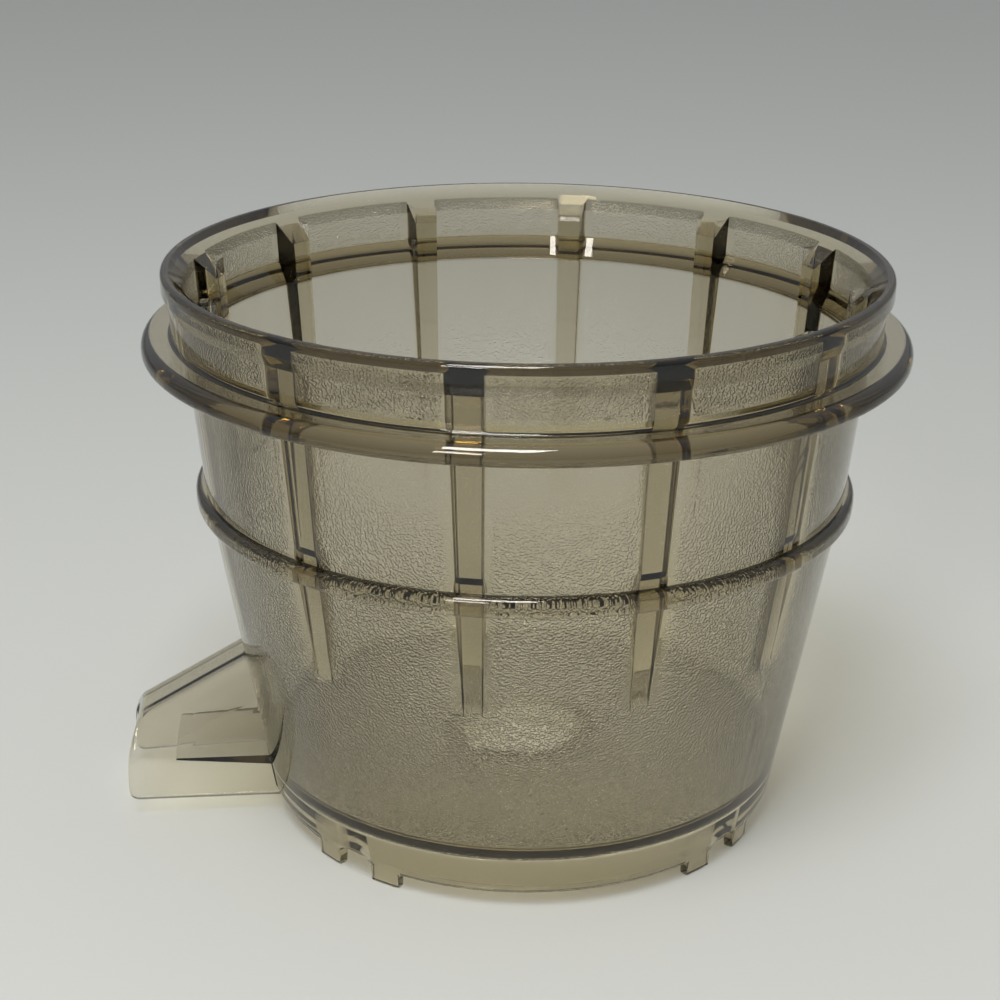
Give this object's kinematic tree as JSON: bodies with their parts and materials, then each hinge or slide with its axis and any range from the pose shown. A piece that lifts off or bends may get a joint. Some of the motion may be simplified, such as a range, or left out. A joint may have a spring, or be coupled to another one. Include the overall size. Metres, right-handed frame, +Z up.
{
  "type": "juicer sorbet strainer",
  "caption": "See-through tapered cup for frozen desserts in a slow juicer, with lid collar, flange, bead, inner ribs, floor hub, base lugs and a hooded spout at the foot.",
  "frame": {"origin": "on the cup's axis, in the plane that the base lugs stand on", "axes": "+Z up along the cup's axis towards the rim, -X along the spout"},
  "size_m": [0.136, 0.13, 0.0987],
  "materials": {
    "smoke_plastic": "polished and see-through, finely spark-eroded on the panels between the ribs"
  },
  "bodies": {
    "root": {"sorbet_strainer": "smoke_plastic"}
  },
  "joints": []
}
